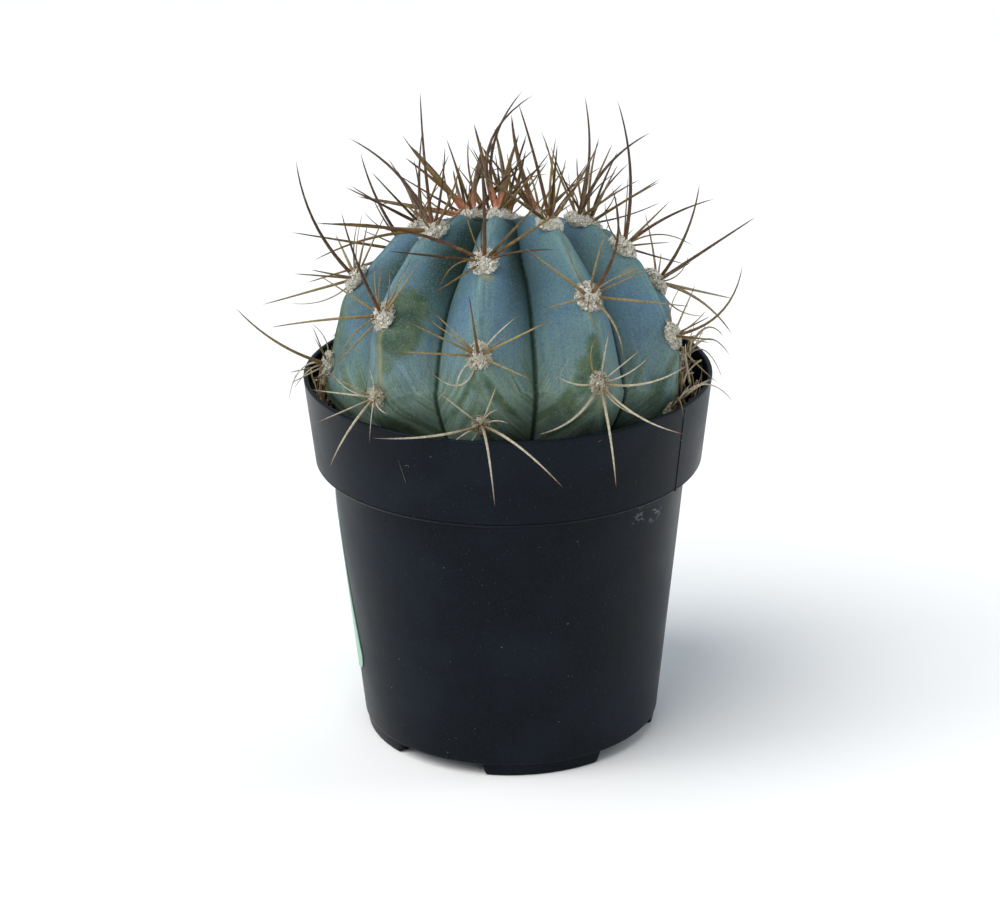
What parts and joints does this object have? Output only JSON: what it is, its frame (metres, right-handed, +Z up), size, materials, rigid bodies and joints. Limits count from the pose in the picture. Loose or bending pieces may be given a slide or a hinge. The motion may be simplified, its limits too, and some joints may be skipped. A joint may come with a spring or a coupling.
{
  "type": "potted round cactus",
  "caption": "Ribbed blue-green globe cactus with woolly areoles and long curved spines, in peat in a dark nursery pot.",
  "frame": {"origin": "middle of the part's footprint on the surface it stands on, which is the pot's axis to within a millimetre", "axes": "+Z up along the pot's axis, -Y towards the front of the plant, +X to its right seen from the front"},
  "size_m": [0.1334, 0.1344, 0.1701],
  "materials": {
    "pot_plastic": "satin, very dark blue-black, lightly scuffed",
    "label_paper": "pale mint green, blank, semi-matt",
    "peat": "dark crumbly peat with fibres",
    "stem_skin": "waxy blue-green bloom, matt",
    "spine": "horny, tan to dark red-brown with paler older spines",
    "wool": "cream felt"
  },
  "bodies": {
    "root": {"pot": "pot_plastic", "label": "label_paper", "soil": "peat", "stem": "stem_skin", "areole_d1": "spine", "areole_d2": "spine", "areole_d3": "spine", "areole_c1": "spine", "areole_c2": "spine", "areole_c3": "spine", "areole_c4": "spine", "areole_a1": "spine", "areole_a2": "spine", "areole_a3": "spine", "areole_a4": "spine", "areole_b1": "spine", "areole_b2": "spine", "areole_b3": "spine", "areole_e1": "spine", "areole_e2": "spine", "areole_e3": "spine", "areole_e4": "spine", "areole_f1": "spine", "areole_f2": "spine", "areole_f3": "spine", "areole_g1": "spine", "areole_g2": "spine", "areole_g3": "spine", "areole_h1": "spine", "areole_h2": "spine", "areole_h3": "spine", "areole_i1": "spine", "areole_i2": "spine", "areole_i3": "spine", "crown": "wool"}
  },
  "joints": []
}
